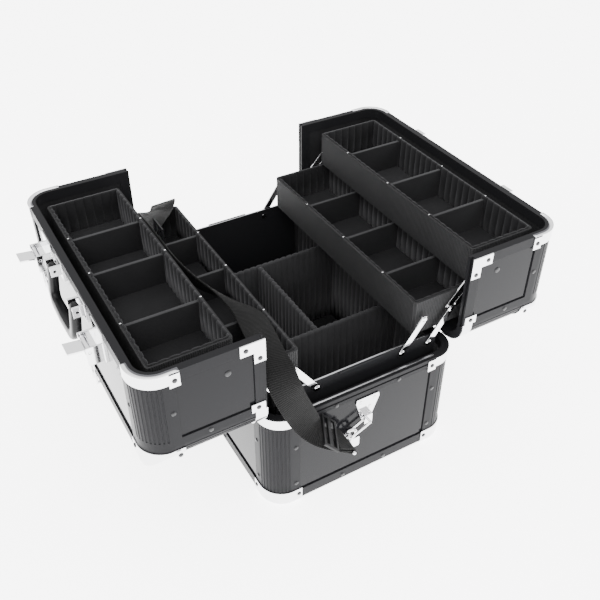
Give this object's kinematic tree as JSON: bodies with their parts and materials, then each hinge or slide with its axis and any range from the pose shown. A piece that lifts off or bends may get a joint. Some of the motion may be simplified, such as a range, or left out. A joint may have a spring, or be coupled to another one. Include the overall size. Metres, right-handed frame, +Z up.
{
  "type": "makeup train case",
  "caption": "Black hard train case with split lid, cantilever trays with dividers, chrome corners and latches, top handle and webbing shoulder strap, shown open.",
  "frame": {"origin": "centre of the case's footprint on the floor", "axes": "+X across the case towards the right lid, +Y along the case's length, +Z up"},
  "size_m": [0.5336, 0.4483, 0.259],
  "materials": {
    "gloss_black": "gloss black laminated panel",
    "black_aluminium": "satin black anodised extrusion",
    "chrome": "polished",
    "velvet": "black flocked lining",
    "tray_fabric": "black ribbed tray covering",
    "webbing": "black woven webbing",
    "black_plastic": "black moulded plastic",
    "steel": "plated steel"
  },
  "bodies": {
    "base": {"base_panels": "gloss_black", "base_posts": "black_aluminium", "base_edge_strip": "black_aluminium", "base_rim": "black_aluminium", "base_corner_caps": "chrome", "base_rim_clamps": "chrome", "base_rivets": "steel", "base_lining": "velvet", "base_dividers": "velvet", "link_plates": "black_aluminium", "ring_plates": "chrome", "hinge_base_leaves": "steel"},
    "lid_right": {"lid_right_panels": "gloss_black", "lid_right_posts": "black_aluminium", "lid_right_profiles": "black_aluminium", "lid_right_hardware": "chrome", "lid_right_rivets": "steel", "lid_right_lining": "velvet", "hinge_lid_leaf_right": "steel", "latch_catches": "chrome"},
    "arm_a_right": {"arm_a_right": "chrome"},
    "arm_b_right": {"arm_b_right": "chrome"},
    "arm_c_right": {"arm_c_right": "chrome"},
    "arm_d_right": {"arm_d_right": "chrome"},
    "lid_link_right": {"lid_link_right": "chrome"},
    "inner_tray_right": {"inner_tray_right": "tray_fabric", "inner_tray_dividers_right": "velvet"},
    "outer_tray_right": {"outer_tray_right": "tray_fabric", "outer_tray_dividers_right": "velvet"},
    "lid_left": {"lid_left_panels": "gloss_black", "lid_left_posts": "black_aluminium", "lid_left_profiles": "black_aluminium", "lid_left_hardware": "chrome", "lid_left_rivets": "steel", "lid_left_lining": "velvet", "hinge_lid_leaf_left": "steel", "handle_brackets": "chrome", "latch_plates": "chrome"},
    "arm_a_left": {"arm_a_left": "chrome"},
    "arm_b_left": {"arm_b_left": "chrome"},
    "arm_c_left": {"arm_c_left": "chrome"},
    "arm_d_left": {"arm_d_left": "chrome"},
    "lid_link_left": {"lid_link_left": "chrome"},
    "inner_tray_left": {"inner_tray_left": "tray_fabric", "inner_tray_dividers_left": "velvet"},
    "outer_tray_left": {"outer_tray_left": "tray_fabric", "outer_tray_dividers_left": "velvet"},
    "handle": {"handle_grip": "black_plastic"},
    "latch_lever_near": {"latch_lever_near": "chrome"},
    "latch_hasp_near": {"latch_hasp_near": "chrome"},
    "ring_near": {"ring_near": "chrome"},
    "hook_near": {"hook_near": "chrome"},
    "latch_lever_far": {"latch_lever_far": "chrome"},
    "latch_hasp_far": {"latch_hasp_far": "chrome"},
    "ring_far": {"ring_far": "chrome"},
    "hook_far": {"hook_far": "chrome"},
    "strap": {"strap": "webbing", "strap_buckle": "black_plastic", "strap_eye_near": "chrome", "strap_eye_far": "chrome"}
  },
  "joints": [
    {"name": "lid_right_hinge", "type": "hinge", "parent": "base", "child": "lid_right", "pos_m": [0.12075, 0, 0.13825], "axis": [0, -1, 0], "range_deg": [0, 90]},
    {"name": "arm_a_right_pivot", "type": "hinge", "parent": "base", "child": "arm_a_right", "pos_m": [0.054, 0, 0.1465], "axis": [0, -1, 0], "range_deg": [0, 98]},
    {"name": "arm_b_right_pivot", "type": "hinge", "parent": "base", "child": "arm_b_right", "pos_m": [0.09, 0, 0.1465], "axis": [0, -1, 0], "range_deg": [0, 98]},
    {"name": "inner_tray_right_pivot", "type": "hinge", "parent": "arm_a_right", "child": "inner_tray_right", "pos_m": [0.08038, 0, 0.18418], "axis": [0, -1, 0], "range_deg": [-98, 0]},
    {"name": "arm_c_right_pivot", "type": "hinge", "parent": "inner_tray_right", "child": "arm_c_right", "pos_m": [0.11639, 0, 0.18418], "axis": [0, -1, 0], "range_deg": [0, 82.6]},
    {"name": "arm_d_right_pivot", "type": "hinge", "parent": "inner_tray_right", "child": "arm_d_right", "pos_m": [0.12838, 0, 0.18418], "axis": [0, -1, 0], "range_deg": [0, 82.6]},
    {"name": "lid_link_right_pivot", "type": "hinge", "parent": "lid_right", "child": "lid_link_right", "pos_m": [0.159, 0, 0.231], "axis": [0, -1, 0], "range_deg": [-7.24, 0.5]},
    {"name": "outer_tray_right_pivot", "type": "hinge", "parent": "lid_link_right", "child": "outer_tray_right", "pos_m": [0.183, 0, 0.2145], "axis": [0, -1, 0], "range_deg": [-83.76, 0]},
    {"name": "lid_left_hinge", "type": "hinge", "parent": "base", "child": "lid_left", "pos_m": [-0.12075, 0, 0.13825], "axis": [0, 1, 0], "range_deg": [0, 90]},
    {"name": "arm_a_left_pivot", "type": "hinge", "parent": "base", "child": "arm_a_left", "pos_m": [-0.054, 0, 0.1465], "axis": [0, 1, 0], "range_deg": [0, 98]},
    {"name": "arm_b_left_pivot", "type": "hinge", "parent": "base", "child": "arm_b_left", "pos_m": [-0.09, 0, 0.1465], "axis": [0, 1, 0], "range_deg": [0, 98]},
    {"name": "inner_tray_left_pivot", "type": "hinge", "parent": "arm_a_left", "child": "inner_tray_left", "pos_m": [-0.08038, 0, 0.18418], "axis": [0, 1, 0], "range_deg": [-98, 0]},
    {"name": "arm_c_left_pivot", "type": "hinge", "parent": "inner_tray_left", "child": "arm_c_left", "pos_m": [-0.11639, 0, 0.18418], "axis": [0, 1, 0], "range_deg": [0, 82.6]},
    {"name": "arm_d_left_pivot", "type": "hinge", "parent": "inner_tray_left", "child": "arm_d_left", "pos_m": [-0.12838, 0, 0.18418], "axis": [0, 1, 0], "range_deg": [0, 82.6]},
    {"name": "lid_link_left_pivot", "type": "hinge", "parent": "lid_left", "child": "lid_link_left", "pos_m": [-0.159, 0, 0.231], "axis": [0, 1, 0], "range_deg": [-7.24, 0.5]},
    {"name": "outer_tray_left_pivot", "type": "hinge", "parent": "lid_link_left", "child": "outer_tray_left", "pos_m": [-0.183, 0, 0.2145], "axis": [0, 1, 0], "range_deg": [-83.76, 0]},
    {"name": "handle_hinge", "type": "hinge", "parent": "lid_left", "child": "handle", "pos_m": [-0.2544, 0, 0.248], "axis": [0, 1, 0], "range_deg": [0, 60]},
    {"name": "latch_lever_near_hinge", "type": "hinge", "parent": "lid_left", "child": "latch_lever_near", "pos_m": [-0.26, -0.084, 0.238], "axis": [0, 1, 0], "range_deg": [-20, 60]},
    {"name": "latch_hasp_near_hinge", "type": "hinge", "parent": "lid_left", "child": "latch_hasp_near", "pos_m": [-0.258, -0.084, 0.227], "axis": [0, 1, 0], "range_deg": [0, 60]},
    {"name": "ring_near_hinge", "type": "hinge", "parent": "base", "child": "ring_near", "pos_m": [-0.002, -0.1864, 0.093], "axis": [0, 1, 0], "range_deg": [-3, 3]},
    {"name": "hook_near_swivel", "type": "hinge", "parent": "strap", "child": "hook_near", "pos_m": [-0.025, -0.1864, 0.08198], "axis": [-0.6267, -0.5779, 0.5228], "range_deg": [-4, 4]},
    {"name": "latch_lever_far_hinge", "type": "hinge", "parent": "lid_left", "child": "latch_lever_far", "pos_m": [-0.26, 0.084, 0.238], "axis": [0, 1, 0], "range_deg": [-20, 60]},
    {"name": "latch_hasp_far_hinge", "type": "hinge", "parent": "lid_left", "child": "latch_hasp_far", "pos_m": [-0.258, 0.084, 0.227], "axis": [0, 1, 0], "range_deg": [0, 60]},
    {"name": "ring_far_hinge", "type": "hinge", "parent": "base", "child": "ring_far", "pos_m": [-0.002, 0.1864, 0.093], "axis": [0, 1, 0], "range_deg": [-3, 3]},
    {"name": "hook_far_swivel", "type": "hinge", "parent": "strap", "child": "hook_far", "pos_m": [-0.025, 0.1864, 0.08198], "axis": [-0.6267, 0.5779, 0.5228], "range_deg": [-4, 4]},
    {"name": "strap_swing", "type": "hinge", "parent": "base", "child": "strap", "pos_m": [-0.025, 0, 0.08198], "axis": [0, -1, 0], "range_deg": [0, 31], "deforming": ["strap", "strap_buckle"]}
  ],
  "couplings": [
    {"joint": "arm_a_right_pivot", "follows": "lid_right_hinge", "ratio": 1.0848},
    {"joint": "arm_b_right_pivot", "follows": "lid_right_hinge", "ratio": 1.0848},
    {"joint": "inner_tray_right_pivot", "follows": "lid_right_hinge", "ratio": -1.0848},
    {"joint": "arm_c_right_pivot", "follows": "lid_right_hinge", "ratio": 0.91275},
    {"joint": "arm_d_right_pivot", "follows": "lid_right_hinge", "ratio": 0.91275},
    {"joint": "lid_link_right_pivot", "follows": "lid_right_hinge", "ratio": -0.074877},
    {"joint": "outer_tray_right_pivot", "follows": "lid_right_hinge", "ratio": -0.92512},
    {"joint": "arm_a_left_pivot", "follows": "lid_left_hinge", "ratio": 1.0848},
    {"joint": "arm_b_left_pivot", "follows": "lid_left_hinge", "ratio": 1.0848},
    {"joint": "inner_tray_left_pivot", "follows": "lid_left_hinge", "ratio": -1.0848},
    {"joint": "arm_c_left_pivot", "follows": "lid_left_hinge", "ratio": 0.91275},
    {"joint": "arm_d_left_pivot", "follows": "lid_left_hinge", "ratio": 0.91275},
    {"joint": "lid_link_left_pivot", "follows": "lid_left_hinge", "ratio": -0.074877},
    {"joint": "outer_tray_left_pivot", "follows": "lid_left_hinge", "ratio": -0.92512},
    {"joint": "strap_swing", "follows": "lid_left_hinge", "ratio": 0.33333}
  ]
}
